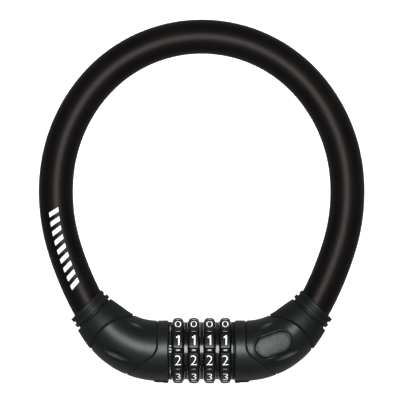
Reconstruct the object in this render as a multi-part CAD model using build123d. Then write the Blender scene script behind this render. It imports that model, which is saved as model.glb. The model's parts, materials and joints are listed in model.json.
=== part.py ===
"""Combination cable lock: a closed ring of vinyl-covered steel cable whose two ends sit in elbow housings.

The left housing carries four dials on a slotted core; the right housing is a plug whose toothed pin enters
that core.  While modelling, the origin is the middle of the dials, +X runs along the lock axis towards the
plug, +Y towards the top of the ring and +Z out of the front.  Export moves the origin to the middle of the
footprint.
"""

import os
from math import cos, degrees, radians, sin, sqrt, tan

from build123d import *

# ---- cable ring -------------------------------------------------------------------------------------------
CABLE_R = 8.0
ROPE_R = 4.0
SKIN_GAP = 0.05  # radial clearance between nested pieces of one body
UPPER_ARCS = ((66.0, 50.0), (74.0, 35.0), (87.0, 22.0))  # radius and degrees, from the top down to a knuckle
LOWER_ARCS = ((150.0, 11.0), (36.0, 16.0))  # from the knuckle down into the boot
SOCKET_R = 8.3
TOP_RIM = 3.9  # axial gap from a knuckle's centre to the rim of its socket
SIDE_RIM = 3.0

# ---- dials ------------------------------------------------------------------------------------------------
DIAL_COUNT = 4
DIGITS = 10
PITCH = 7.3
WHEEL_HALF = 2.85
WHEEL_SHOULDER_R = 13.3
WHEEL_RIM_HALF = 1.8
WHEEL_RIM_R = 15.45
WHEEL_CROWN_R = 15.9
FACET_R = 15.05
FACET_HALF_ANGLE = 13.2
GROOVE_R = 14.65
BAR_HALF_ANGLE = 3.3
DIAL_TURN = 3.3  # degrees by which a bar of each dial stands above the front of the lock
WHEEL_BORE_R = 8.95
SPLINE_R = 9.95
SPLINE_HALF = 0.88
DISC_R = 13.5
DISC_HALF = 0.75

# ---- lock core and plug pin -------------------------------------------------------------------------------
FACE_X = 15.35  # where each elbow housing ends and the dial bay starts
TUBE_R = 6.5
PIN_BORE_R = 3.2
PIN_R = 3.0
PIN_TIP_X = -17.5
TOOTH_HALF = 1.1
TOOTH_TIP_R = 7.6
TOOTH_HALF_WIDTH = 1.2
SLOT_HALF = 1.5
SLOT_R = 7.9
CORE_BASE_R = 9.0
CORE_BASE_LENGTH = 9.0
CLUTCH_HALF = 2.1
CLUTCH_R = 8.8
CLUTCH_BORE_R = 6.6
KEY_HALF = 0.8
KEY_DEPTH = 0.6
RING_BORE_R = 10.05
KNURLS = 60
KNURL_DEPTH = 0.45
BALL_R = 0.95
BALL_CENTRE = 5.5
SEAT_FLOOR = 3.7

# ---- elbow housings ---------------------------------------------------------------------------------------
ELBOW_STRAIGHT = 4.4
ELBOW_BEND_R = 33.0
ELBOW_TURN = 46.0
ELBOW_CONE = 9.5
END_R = 14.2
BOOT_R = 10.7
WALL = 1.8
SEAM = 0.12  # half the gap along a seam between two covers
COVER_GAP = 0.04  # gap between the front and back covers
BLOCK_GAP = 0.15
BLOCK_TAIL = 2.6  # how far the anchor block runs past the bend
RIB_STEPS = ((11.35, 10.35), (14.35, 9.9))  # distance past the bend and radius of each rib of the boot
RIB_OFFSET = 0.5  # how far the ribs sit from the elbow's axis, towards the inside of the ring
RIB_HALF = 1.0
NECK_R = 9.2
SHIELD_CENTRE = (33.0, -2.75)
SHIELD_R = 18.8
SHIELD_EDGE_TURN = 36.0  # degrees round the bend at which the boot's seam runs square across the inside
COLLAR_X = 20.6
COLLAR_BEND_Y = 3.5
COLLAR_BEND_R = 8.0
COLLAR_BEND_TURN = 54.0
FOOT_HALF = 3.0
FOOT_R = 14.9
FOOT_LENGTH = 6.2

# ---- cable anchors and screws -----------------------------------------------------------------------------
FERRULE_R = 5.3
FERRULE_LENGTH = 13.0
ANCHOR_PIN_R = 1.5
SCREW_STATIONS = ((20.0, 8.6), (24.0, -8.6))  # degrees along the bend, and offset towards the ring's inside
SCREW_R = 1.1
SCREW_HEAD_R = 2.1
SCREW_HEAD_HEIGHT = 1.3
SCREW_SEAT_Z = -6.4
SCREW_TIP_Z = 6.4
BOSS_R = 2.2
BOSS_FLOOR_Z = 4.6
HEAD_BOSS_R = 3.2
HEAD_BOSS_FLOOR_Z = -5.0

# ---- release button and catch -----------------------------------------------------------------------------
BUTTON_AT = (33.3, 3.4)
BUTTON_TILT = 19.5
BUTTON_LENGTH = 16.6
BUTTON_WIDTH = 9.3
BUTTON_PROUD = 0.45
BUTTON_GAP = 0.2
BUTTON_FLANGE = 1.2
BUTTON_FLANGE_Z = 9.0
BUTTON_TRAVEL = 1.5
CAVITY_FLOOR_Z = 6.6
CATCH_PIVOT = (21.0, 8.05)  # x and z
CATCH_PIVOT_R = 0.8
CATCH_HUB_R = 1.6
CATCH_HALF_WIDTH = 1.5
CATCH_HALF_THICK = 0.75
CATCH_NOSE_X = 14.2
CATCH_TAIL_X = 30.0
CATCH_PUSH_X = 28.5
CHANNEL_FLOOR_Z = 4.9
RELIEF_X = (22.5, 27.3)  # where the button's flange is cut back over the catch
RELIEF_DEPTH = 1.0
NOSE_WINDOW_Z = (6.8, 10.9)

PRISM_REACH = 100.0  # far enough for a prism to cut through anything here


def elbow_station(s):
    """Point and heading of the right elbow's centreline, s along it from the dial face."""
    bend = radians(ELBOW_TURN) * ELBOW_BEND_R
    x0 = FACE_X + ELBOW_STRAIGHT
    if s <= ELBOW_STRAIGHT:
        return Vector(FACE_X + s, 0, 0), 0.0
    turned = min(s - ELBOW_STRAIGHT, bend) / ELBOW_BEND_R
    past = max(0.0, s - ELBOW_STRAIGHT - bend)
    x = x0 + ELBOW_BEND_R * sin(turned) + past * cos(turned)
    y = ELBOW_BEND_R * (1 - cos(turned)) + past * sin(turned)
    return Vector(x, y, 0), turned


BEND_END_S = ELBOW_STRAIGHT + radians(ELBOW_TURN) * ELBOW_BEND_R
SLEEVE_END_S = BEND_END_S + ELBOW_CONE
BLOCK_END_S = BEND_END_S + BLOCK_TAIL


def elbow_radius(s):
    """Outer radius of the elbow: it thins towards the cable with the square of the distance."""
    return END_R - (END_R - BOOT_R) * (s / SLEEVE_END_S) ** 2


def across(s):
    """Plane that cuts the elbow's centreline square at s."""
    point, heading = elbow_station(s)
    return Plane(origin=point, x_dir=(0, 0, 1), z_dir=(cos(heading), sin(heading), 0))


def elbow_solid(inset, s_from, s_to, sections=8):
    """The elbow's outer form, shrunk by inset, between two stations."""
    stations = [s_from + (s_to - s_from) * i / (sections - 1) for i in range(sections)]
    return loft([across(s) * Circle(elbow_radius(s) - inset) for s in stations])


def bend_point(angle, offset=0.0):
    """Point at an angle round the elbow's bend, moved by offset towards the inside of the ring."""
    turn = radians(angle)
    r = ELBOW_BEND_R - offset
    return FACE_X + ELBOW_STRAIGHT + r * sin(turn), ELBOW_BEND_R - r * cos(turn)


def x_cylinder(radius, x_from, x_to):
    """Cylinder about the lock axis."""
    plane = Plane(origin=(x_from, 0, 0), x_dir=(0, 1, 0), z_dir=(1, 0, 0))
    return extrude(plane * Circle(radius), x_to - x_from)


def block(x, y, z):
    """Box from three (low, high) pairs."""
    size = [high - low for low, high in (x, y, z)]
    middle = [(high + low) / 2 for low, high in (x, y, z)]
    return Pos(*middle) * Box(*size)


def z_prism(face, z_from=-PRISM_REACH, z_to=PRISM_REACH):
    """Prism on a face drawn in the plane of the ring."""
    return extrude(Pos(0, 0, z_from) * face, z_to - z_from)


def left(part):
    """The left-hand copy of a right-hand piece."""
    return mirror(part, Plane.YZ)


# ---- seams between the covers -----------------------------------------------------------------------------
def shield_area(grow):
    """Area whose edge is the seam between the boot and the covers: a disc, and all before its top end."""
    edge_s = ELBOW_STRAIGHT + radians(SHIELD_EDGE_TURN) * ELBOW_BEND_R + grow
    point, heading = elbow_station(edge_s)
    reach = 60.0
    before = Pos(point.X, point.Y) * Rot(Z=degrees(heading)) * Pos(-reach / 2, reach / 2) * Rectangle(reach, reach)
    return Pos(*SHIELD_CENTRE) * Circle(SHIELD_R + grow) + before


def collar_area(grow):
    """Area on the dial side of the seam that runs down the collar and slants away across the elbow."""
    x = COLLAR_X + grow
    r = COLLAR_BEND_R - grow
    turn = radians(COLLAR_BEND_TURN)
    centre = (x + r, COLLAR_BEND_Y)
    bend_mid = (centre[0] - r * cos(turn / 2), centre[1] - r * sin(turn / 2))
    bend_end = (centre[0] - r * cos(turn), centre[1] - r * sin(turn))
    slant = 40.0
    far = (bend_end[0] + slant * sin(turn), bend_end[1] - slant * cos(turn))
    reach = 40.0
    edges = [
        Line((x, reach), (x, COLLAR_BEND_Y)),
        ThreePointArc((x, COLLAR_BEND_Y), bend_mid, bend_end),
        Line(bend_end, far),
        Line(far, (0, far[1])),
        Line((0, far[1]), (0, reach)),
        Line((0, reach), (x, reach)),
    ]
    return make_face(edges)


# ---- the cable --------------------------------------------------------------------------------------------
def turn_right(point, heading, radius, turn_angle):
    """Arc that turns clockwise from a point: its edge, end point and end heading in radians."""
    turn = radians(turn_angle)
    centre = point + Vector(sin(heading), -cos(heading), 0) * radius

    def at(angle):
        h = heading - angle
        return centre + Vector(-sin(h), cos(h), 0) * radius

    return ThreePointArc(point, at(turn / 2), at(turn)), at(turn), heading - turn


def run_arcs(point, heading, arcs):
    """Edges of a run of tangent arcs, with the end point and heading."""
    edges = []
    for radius, turn_angle in arcs:
        edge, point, heading = turn_right(point, heading, radius, turn_angle)
        edges.append(edge)
    return edges, point, heading


def loop_top():
    """Height of the cable's centreline at the top, so that its end lies on the elbow's end axis."""
    _, end, _ = run_arcs(Vector(0, 0, 0), 0.0, UPPER_ARCS + LOWER_ARCS)
    on_axis, heading = elbow_station(BEND_END_S)
    return on_axis.Y + (end.X - on_axis.X) * tan(heading) - end.Y


TOP = Vector(0, loop_top(), 0)
UPPER_EDGES, KNUCKLE, KNUCKLE_HEADING = run_arcs(TOP, 0.0, UPPER_ARCS)
LOWER_EDGES, BOOT_POINT, BOOT_HEADING = run_arcs(KNUCKLE, KNUCKLE_HEADING, LOWER_ARCS)
BLOCK_FACE, _ = elbow_station(BLOCK_END_S)
LOWER_EDGES = LOWER_EDGES + [Line(BOOT_POINT, BLOCK_FACE)]


def heading_vector(heading):
    return Vector(cos(heading), sin(heading), 0)


def tube(edges, start, heading, radius):
    """Round bar swept along tangent edges."""
    plane = Plane(origin=start, x_dir=(0, 0, 1), z_dir=heading_vector(heading))
    return sweep(plane * Circle(radius), path=Wire(edges))


def facing(point, direction):
    return Plane(origin=point, x_dir=(0, 0, 1), z_dir=direction)


def ball_end(solid, point, outwards, radius):
    """Adds a half ball on the flat end of a bar."""
    ball = Sphere(radius, arc_size1=0, align=(Align.CENTER, Align.CENTER, Align.MIN))
    return solid + facing(point, outwards) * ball


def cut_socket(solid, point, inwards, rim):
    """Cuts a bar's end back to the rim of its socket, and hollows out the ball's room."""
    start = point - inwards * 2
    solid -= extrude(facing(start, inwards) * Circle(CABLE_R + 4), rim + 2)
    return solid - facing(point, inwards) * Sphere(SOCKET_R)


def cable_span(edges, start, heading, ball_at=None, socket_at=None):
    """Sleeve and rope of one span.  ball_at and socket_at are (point, direction out of the span[, rim])."""
    bar = tube(edges, start, heading, CABLE_R)
    bore = tube(edges, start, heading, ROPE_R + SKIN_GAP)
    rope = tube(edges, start, heading, ROPE_R)
    if ball_at:
        point, outwards = ball_at
        bar = ball_end(bar, point, outwards, CABLE_R)
        bore += extrude(facing(point, outwards) * Circle(ROPE_R + SKIN_GAP), CABLE_R + 1)
        rope += extrude(facing(point, outwards) * Circle(ROPE_R), sqrt(CABLE_R**2 - ROPE_R**2) - 0.1)
    sleeve = bar - bore
    if socket_at:
        point, inwards, rim = socket_at
        sleeve = cut_socket(sleeve, point, inwards, rim)
        rope = cut_socket(rope, point, inwards, rim)
    return sleeve, rope


def cable_pieces():
    """The four spans of the cable, by node name."""
    top_out = Vector(1, 0, 0)
    down = heading_vector(KNUCKLE_HEADING)
    pieces = {}
    sleeve, rope = cable_span(
        UPPER_EDGES, TOP, 0.0, ball_at=(KNUCKLE, down), socket_at=(TOP, top_out, TOP_RIM)
    )
    pieces["cable_sleeve_right"], pieces["cable_rope_right"] = sleeve, rope
    sleeve, rope = cable_span(
        UPPER_EDGES, TOP, 0.0, ball_at=(TOP, -top_out), socket_at=(KNUCKLE, -down, SIDE_RIM)
    )
    pieces["cable_sleeve_left"], pieces["cable_rope_left"] = left(sleeve), left(rope)
    lower = (LOWER_EDGES, KNUCKLE, KNUCKLE_HEADING)
    sleeve, rope = cable_span(*lower, socket_at=(KNUCKLE, down, SIDE_RIM))
    pieces["cable_sleeve_right_end"], pieces["cable_rope_right_end"] = sleeve, rope
    sleeve, rope = cable_span(*lower, ball_at=(KNUCKLE, -down))
    pieces["cable_sleeve_left_end"], pieces["cable_rope_left_end"] = left(sleeve), left(rope)
    return pieces


# ---- cable anchors ----------------------------------------------------------------------------------------
def end_axis_cylinder(radius, s_from, s_to):
    """Cylinder on the straight axis of the elbow's cable end; s may lie before the end of the bend."""
    point, heading = elbow_station(BEND_END_S)
    along = heading_vector(heading)
    start = point + along * (s_from - BEND_END_S)
    return extrude(facing(start, along) * Circle(radius), s_to - s_from)


def anchor_pin_at():
    point, heading = elbow_station(BEND_END_S)
    return point + heading_vector(heading) * (BLOCK_TAIL - FERRULE_LENGTH / 2)


def z_cylinder(radius, x, y, z_from, z_to):
    return Pos(x, y, z_from) * extrude(Circle(radius), z_to - z_from)


def ferrule():
    """Steel sleeve crimped on the end of the rope."""
    body = end_axis_cylinder(FERRULE_R, BLOCK_END_S - FERRULE_LENGTH, BLOCK_END_S)
    body -= end_axis_cylinder(ROPE_R + SKIN_GAP, BLOCK_END_S - FERRULE_LENGTH + 1.0, BLOCK_END_S + 1)
    at = anchor_pin_at()
    return body - z_cylinder(ANCHOR_PIN_R + SKIN_GAP, at.X, at.Y, -FERRULE_R - 1, FERRULE_R + 1)


def rope_tail():
    """End of the rope inside the ferrule."""
    body = end_axis_cylinder(ROPE_R, BLOCK_END_S - FERRULE_LENGTH + 1.2, BLOCK_END_S)
    at = anchor_pin_at()
    return body - z_cylinder(ANCHOR_PIN_R + SKIN_GAP, at.X, at.Y, -FERRULE_R - 1, FERRULE_R + 1)


def anchor_pin():
    """Cross pin that holds the ferrule in its block."""
    at = anchor_pin_at()
    half = FERRULE_R + 0.8
    return z_cylinder(ANCHOR_PIN_R, at.X, at.Y, -half, half)


def screw_points():
    return [bend_point(angle, offset) for angle, offset in SCREW_STATIONS]


def anchor_block():
    """Die-cast block that fills the elbow and ties the cable to the lock."""
    solid = elbow_solid(WALL + BLOCK_GAP, 1.6, BLOCK_END_S)
    solid -= end_axis_cylinder(FERRULE_R + SKIN_GAP, BLOCK_END_S - FERRULE_LENGTH - 0.1, BLOCK_END_S + 5)
    at = anchor_pin_at()
    solid -= z_cylinder(ANCHOR_PIN_R + SKIN_GAP / 2, at.X, at.Y, -FERRULE_R - 1.0, END_R)
    for x, y in screw_points():
        solid -= z_cylinder(SCREW_R + 0.2, x, y, -END_R, END_R)
        solid -= z_cylinder(BOSS_R + 0.2, x, y, BOSS_FLOOR_Z - 0.2, END_R)
        solid -= z_cylinder(HEAD_BOSS_R + 0.2, x, y, -END_R, HEAD_BOSS_FLOOR_Z + 0.2)
    return solid


# ---- covers -----------------------------------------------------------------------------------------------
def elbow_shell():
    """Hollow elbow before it is parted along its seams."""
    return elbow_solid(0, 0, SLEEVE_END_S) - elbow_solid(WALL, -0.01, SLEEVE_END_S + 0.01)


SHELL = elbow_shell()


def cover_half(front):
    """Front or back half of the cover between the collar seam and the boot seam."""
    z_side = (COVER_GAP / 2, PRISM_REACH) if front else (-PRISM_REACH, -COVER_GAP / 2)
    area = shield_area(-SEAM) - collar_area(SEAM)
    half = SHELL & z_prism(area, *z_side)
    within = elbow_solid(WALL / 2, 0, SLEEVE_END_S)
    for x, y in screw_points():
        if front:
            half += z_cylinder(BOSS_R, x, y, BOSS_FLOOR_Z, END_R) & within
            half -= z_cylinder(SCREW_R + 0.02, x, y, BOSS_FLOOR_Z - 1, SCREW_TIP_Z + 0.3)
        else:
            half += z_cylinder(HEAD_BOSS_R, x, y, -END_R, HEAD_BOSS_FLOOR_Z) & within
            half -= z_cylinder(SCREW_R + 0.15, x, y, -END_R, 0)
            half -= z_cylinder(SCREW_HEAD_R + 0.15, x, y, -END_R - 1, SCREW_SEAT_Z)
    return half


def cover_screws():
    """The two screws that pull the covers together from the back."""
    screws = []
    for x, y in screw_points():
        end = SCREW_SEAT_Z - SCREW_HEAD_HEIGHT
        screw = z_cylinder(SCREW_R, x, y, SCREW_SEAT_Z, SCREW_TIP_Z)
        screw += z_cylinder(SCREW_HEAD_R, x, y, end, SCREW_SEAT_Z)
        slot = Pos(x, y, end) * Box(2.6, 0.6, 1.0)
        cross = Pos(x, y, end) * Box(0.6, 2.6, 1.0)
        screws.append(screw - slot - cross)
    return screws


def cable_boot():
    """Soft boot that covers the cable's entry: a flared sleeve and two ribs."""
    sleeve = SHELL - z_prism(shield_area(SEAM))
    sleeve = max(sleeve.solids(), key=lambda s: s.volume)
    end = BEND_END_S + RIB_STEPS[-1][0] + RIB_HALF
    neck = tube(LOWER_EDGES, KNUCKLE, KNUCKLE_HEADING, NECK_R)
    boot = sleeve + (neck & end_axis_cylinder(NECK_R + 4, SLEEVE_END_S - 1.6, end - 0.2))
    inwards = across(BEND_END_S).z_dir.rotate(Axis.Z, 90) * RIB_OFFSET
    for distance, radius in RIB_STEPS:
        middle = BEND_END_S + distance
        boot += Pos(*inwards) * end_axis_cylinder(radius, middle - RIB_HALF, middle + RIB_HALF)
    return boot - tube(LOWER_EDGES, KNUCKLE, KNUCKLE_HEADING, CABLE_R + SKIN_GAP)


def end_housing(centre_hole):
    """Collar next to the dials: a cup whose face closes the dial bay, with a small foot on its outside."""
    collar = SHELL & z_prism(collar_area(-SEAM))
    collar += x_cylinder(END_R - WALL / 2, FACE_X, FACE_X + 1.5)
    foot = block((FACE_X, FACE_X + FOOT_LENGTH), (-FOOT_R, -END_R + WALL / 2), (-FOOT_HALF, FOOT_HALF))
    collar += foot & x_cylinder(FOOT_R, FACE_X, FACE_X + FOOT_LENGTH)
    return collar - x_cylinder(centre_hole, FACE_X - 1, FACE_X + 2)


# ---- dial stack -------------------------------------------------------------------------------------------
def dial_x(k):
    """Middle of dial k, counted from the left."""
    return (k - (DIAL_COUNT - 1) / 2) * PITCH


def polar(radius, angle):
    """(y, z) of a point at an angle from the front towards the top of the ring."""
    return radius * sin(radians(angle)), radius * cos(radians(angle))


def axial(face_points, x_from, x_to):
    """Prism along X on a polygon given as (y, z) points."""
    plane = Plane(origin=(x_from, 0, 0), x_dir=(0, 1, 0), z_dir=(1, 0, 0))
    return extrude(plane * make_face(Polyline(*face_points, close=True)), x_to - x_from)


def wheel_outline():
    """Ten flats with a raised bar and two grooves between neighbours."""
    step = 360 / DIGITS
    bar_top = WHEEL_CROWN_R + 0.5
    facet_corner = FACET_R / cos(radians(FACET_HALF_ANGLE))
    points = []
    for k in range(DIGITS):
        middle = DIAL_TURN + step * k
        points += [
            polar(GROOVE_R, middle - BAR_HALF_ANGLE),
            polar(bar_top, middle - BAR_HALF_ANGLE),
            polar(bar_top, middle + BAR_HALF_ANGLE),
            polar(GROOVE_R, middle + BAR_HALF_ANGLE),
            polar(GROOVE_R, middle + step / 2 - FACET_HALF_ANGLE),
            polar(facet_corner, middle + step / 2 - FACET_HALF_ANGLE),
            polar(facet_corner, middle + step / 2 + FACET_HALF_ANGLE),
            polar(GROOVE_R, middle + step / 2 + FACET_HALF_ANGLE),
        ]
    return points


def barrel():
    """Revolved limit of a dial wheel: chamfered shoulders and a crowned rim."""
    right_side = [(WHEEL_HALF, 0), (WHEEL_HALF, WHEEL_SHOULDER_R), (WHEEL_RIM_HALF, WHEEL_RIM_R)]
    left_side = [(-x, r) for x, r in reversed(right_side)]
    profile = [
        Polyline(*[(x, r, 0) for x, r in right_side]),
        ThreePointArc(
            (WHEEL_RIM_HALF, WHEEL_RIM_R, 0), (0, WHEEL_CROWN_R, 0), (-WHEEL_RIM_HALF, WHEEL_RIM_R, 0)
        ),
        Polyline(*[(x, r, 0) for x, r in left_side]),
        Line((-WHEEL_HALF, 0, 0), (WHEEL_HALF, 0, 0)),
    ]
    return revolve(make_face(profile), Axis.X)


def splines(root_r, tip_r, half_width, half_length):
    """Ten straight teeth round the lock axis."""
    teeth = []
    for k in range(DIGITS):
        tooth = block((-half_length, half_length), (-half_width, half_width), (root_r - 1, tip_r))
        teeth.append(Rot(X=360 / DIGITS * k) * tooth)
    return teeth


def dial_wheel():
    wheel = axial(wheel_outline(), -WHEEL_HALF, WHEEL_HALF) & barrel()
    wheel -= x_cylinder(WHEEL_BORE_R, -WHEEL_HALF - 1, WHEEL_HALF + 1)
    return wheel - splines(WHEEL_BORE_R, SPLINE_R, SPLINE_HALF, WHEEL_HALF + 1)


def tooth_gate(x_from, x_to, half_width=SLOT_HALF, radius=SLOT_R):
    """Slot on the outer side of the lock axis through which the pin's teeth travel."""
    return block((x_from, x_to), (-radius, 0), (-half_width, half_width))


def clutch_ring():
    """Ring keyed inside a dial; its gate lets a tooth pass only at the dial's right number."""
    ring = x_cylinder(CLUTCH_R, -CLUTCH_HALF, CLUTCH_HALF)
    ring += splines(CLUTCH_R, SPLINE_R - 0.1, SPLINE_HALF - 0.1, CLUTCH_HALF)
    ring -= x_cylinder(CLUTCH_BORE_R, -CLUTCH_HALF - 1, CLUTCH_HALF + 1)
    return ring - tooth_gate(-CLUTCH_HALF - 1, CLUTCH_HALF + 1)


def key_groove(x_from, x_to, clearance=0.0):
    """Groove and key that stop the spacers turning on the core tube."""
    y_high = TUBE_R + 1
    y_low = TUBE_R - KEY_DEPTH - clearance
    half = KEY_HALF + clearance
    return block((x_from, x_to), (y_low, y_high), (-half, half))


def spacer_disc():
    """Fixed disc between two dials."""
    disc = x_cylinder(DISC_R, -DISC_HALF, DISC_HALF) - x_cylinder(TUBE_R + SKIN_GAP, -2, 2)
    disc += key_groove(-DISC_HALF, DISC_HALF)
    return disc - tooth_gate(-2, 2)


def dial_spacers():
    return [Pos(dial_x(k) + PITCH / 2, 0, 0) * spacer_disc() for k in range(DIAL_COUNT - 1)]


def bay_end(side):
    """X range of the disc or ring that closes the dial bay on one side."""
    inner = dial_x(DIAL_COUNT - 1) + WHEEL_HALF + 0.05
    return (inner, FACE_X - 0.05) if side > 0 else (-FACE_X + 0.05, -inner)


def index_tab(clearance=0.0):
    """Key on the front of the lock body that marks the reading line and enters a notch in the plug."""
    x0, _ = bay_end(1)
    half = 1.3 + clearance
    return block((x0, FACE_X + 1.2 + clearance), (-half, half), (DISC_R - 1.9 - clearance, DISC_R + clearance))


def dial_end_disc():
    """Disc pressed on the end of the core tube; it keeps the dials on and shows the index mark."""
    x0, x1 = bay_end(1)
    disc = x_cylinder(DISC_R, x0, x1)
    disc += index_tab() & x_cylinder(DISC_R, x0, FACE_X + 3)
    disc -= x_cylinder(TUBE_R, x0 - 1, FACE_X + 3)
    disc -= tooth_gate(x0 - 1, x1 + 1)
    window = block((x0 - 1, x1 + 1), (-CATCH_HALF_WIDTH - 0.3, CATCH_HALF_WIDTH + 0.3), NOSE_WINDOW_Z)
    return disc - window


def code_set_ring():
    """Knurled ring at the foot of the core, turned to set a new number."""
    x0, x1 = bay_end(-1)
    outline = []
    for k in range(KNURLS):
        step = 360 / KNURLS
        outline.append(polar(DISC_R, step * k))
        outline.append(polar(DISC_R - KNURL_DEPTH, step * (k + 0.5)))
    return axial(outline, x0, x1) - x_cylinder(RING_BORE_R, x0 - 1, x1 + 1)


def lock_core():
    """Slotted tube that carries the dials, with a journal for the setting ring and a base in the block."""
    x0, x1 = bay_end(-1)
    base_end = -FACE_X - CORE_BASE_LENGTH
    core = x_cylinder(TUBE_R, x1, FACE_X - 0.05)
    core += x_cylinder(RING_BORE_R - SKIN_GAP, x0, x1)
    core += x_cylinder(CORE_BASE_R, base_end, x0)
    core -= x_cylinder(PIN_BORE_R, PIN_TIP_X - 0.6, FACE_X + 1)
    slot_from = dial_x(0) - PITCH / 2 - TOOTH_HALF - 0.5
    core -= tooth_gate(slot_from, FACE_X + 1)
    core -= key_groove(x1, bay_end(1)[0], SKIN_GAP)
    for k in range(DIAL_COUNT):
        core -= z_cylinder(BALL_R + SKIN_GAP, dial_x(k), 0, -TUBE_R - 1, -SEAT_FLOOR)
    return core


def detent_balls():
    """Click balls in blind holes at the back of the core tube."""
    return [Pos(dial_x(k), 0, -BALL_CENTRE) * Sphere(BALL_R) for k in range(DIAL_COUNT)]


def coil_spring(radius, wire_r, height, turns):
    """Round-wire spring standing on the origin."""
    path = Helix(pitch=(height - 2 * wire_r) / turns, height=height - 2 * wire_r, radius=radius)
    start = path @ 0
    section = Plane(origin=start, z_dir=path % 0) * Circle(wire_r)
    return Pos(0, 0, wire_r) * sweep(section, path=path, is_frenet=True)


def detent_springs():
    """Small springs that push the click balls outwards."""
    height = BALL_CENTRE - BALL_R - SEAT_FLOOR - SKIN_GAP
    spring = Rot(X=180) * coil_spring(0.6, 0.12, height, 2.0)
    return [Pos(dial_x(k), 0, -SEAT_FLOOR) * spring for k in range(DIAL_COUNT)]


def plug_pin():
    """Toothed steel pin; each tooth waits behind one clutch ring while the lock is closed."""
    pin = x_cylinder(PIN_R, PIN_TIP_X, FACE_X + 8)
    tip = x_cylinder(PIN_R, PIN_TIP_X, PIN_TIP_X + 1)
    cone = loft(
        [
            Plane(origin=(PIN_TIP_X, 0, 0), x_dir=(0, 1, 0), z_dir=(1, 0, 0)) * Circle(PIN_R - 0.8),
            Plane(origin=(PIN_TIP_X + 1, 0, 0), x_dir=(0, 1, 0), z_dir=(1, 0, 0)) * Circle(PIN_R),
        ]
    )
    pin = pin - tip + cone
    for k in range(DIAL_COUNT):
        x = dial_x(k) - PITCH / 2
        tooth = block((x - TOOTH_HALF, x + TOOTH_HALF), (-TOOTH_TIP_R, 0), (-TOOTH_HALF_WIDTH, TOOTH_HALF_WIDTH))
        pin += tooth & x_cylinder(TOOTH_TIP_R, x - 3, x + 3)
    return pin


# ---- release button and catch -----------------------------------------------------------------------------
def button_area(grow):
    """Rounded slot shape in line with the elbow."""
    shape = SlotOverall(BUTTON_LENGTH + 2 * grow, BUTTON_WIDTH + 2 * grow)
    return Pos(*BUTTON_AT) * Rot(Z=BUTTON_TILT) * shape


def release_button():
    """Domed button with a flange that keeps it under the cover and a stud that pushes the catch."""
    crown = z_prism(button_area(0), BUTTON_FLANGE_Z, END_R + 4) & elbow_solid(-BUTTON_PROUD, 0, SLEEVE_END_S)
    flange = z_prism(button_area(BUTTON_FLANGE), BUTTON_FLANGE_Z, END_R + 4)
    flange &= elbow_solid(WALL + 0.15, 0, SLEEVE_END_S)
    stud_z = CATCH_PIVOT[1] + CATCH_HALF_THICK + 0.05
    half = CATCH_HALF_WIDTH + 0.3
    button = crown + flange
    button -= block(RELIEF_X, (-half, half), (BUTTON_FLANGE_Z - 1, BUTTON_FLANGE_Z + RELIEF_DEPTH))
    button += z_cylinder(1.0, CATCH_PUSH_X, 0.4, stud_z, BUTTON_FLANGE_Z + 1)
    return button - z_cylinder(1.9, *spring_at(), BUTTON_FLANGE_Z - 1, BUTTON_FLANGE_Z + 0.6)


def spring_at():
    """Middle of the button's spring, towards the cable end of the button."""
    tilt = radians(BUTTON_TILT)
    return BUTTON_AT[0] + 3.0 * cos(tilt), BUTTON_AT[1] + 3.0 * sin(tilt)


def button_spring():
    x, y = spring_at()
    return Pos(x, y, CAVITY_FLOOR_Z) * coil_spring(1.4, 0.2, BUTTON_FLANGE_Z + 0.55 - CAVITY_FLOOR_Z, 3.0)


def catch_lever():
    """Lever whose nose keys the plug to the lock body and lifts when the button goes down."""
    x, z = CATCH_PIVOT
    lever = block(
        (CATCH_NOSE_X, CATCH_TAIL_X),
        (-CATCH_HALF_WIDTH, CATCH_HALF_WIDTH),
        (z - CATCH_HALF_THICK, z + CATCH_HALF_THICK),
    )
    hub_plane = Plane(origin=(x, -CATCH_HALF_WIDTH, z), x_dir=(1, 0, 0), z_dir=(0, 1, 0))
    lever += extrude(hub_plane * Circle(CATCH_HUB_R), 2 * CATCH_HALF_WIDTH)
    return lever - extrude(hub_plane * Circle(CATCH_PIVOT_R + SKIN_GAP), 2 * CATCH_HALF_WIDTH)


def catch_pivot_pin(radius=CATCH_PIVOT_R, half=5.0):
    x, z = CATCH_PIVOT
    plane = Plane(origin=(x, -half, z), x_dir=(1, 0, 0), z_dir=(0, 1, 0))
    return extrude(plane * Circle(radius), 2 * half)


def left_anchor_block():
    """The dial side's block, with the socket for the core's base."""
    return left(anchor_block()) - x_cylinder(CORE_BASE_R + 0.03, -FACE_X - CORE_BASE_LENGTH - 0.1, -FACE_X)


def right_anchor_block():
    """The plug's block, with the pin's bore, the catch's channel and the button's well."""
    solid = anchor_block() - x_cylinder(PIN_R + 0.02, FACE_X, FACE_X + 8.1)
    solid -= z_prism(button_area(BUTTON_FLANGE + 0.4), CAVITY_FLOOR_Z, END_R)
    half = CATCH_HALF_WIDTH + 0.3
    solid -= block((FACE_X, CATCH_TAIL_X + 0.8), (-half, half), (CHANNEL_FLOOR_Z, END_R))
    return solid - catch_pivot_pin(CATCH_PIVOT_R + 0.01, 5.1)


def right_end_housing():
    """The plug's collar: its face has the pin's hole, the catch's window and the notch for the index tab."""
    housing = end_housing(PIN_R + 0.1)
    half = CATCH_HALF_WIDTH + 0.3
    housing -= block((FACE_X - 1, FACE_X + 2), (-half, half), (CATCH_PIVOT[1] - 1.2, NOSE_WINDOW_Z[1]))
    housing -= tooth_gate(FACE_X - 1, FACE_X + 2, TOOTH_HALF_WIDTH + 0.3, TOOTH_TIP_R + 0.3)
    return housing - index_tab(0.15)


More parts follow.
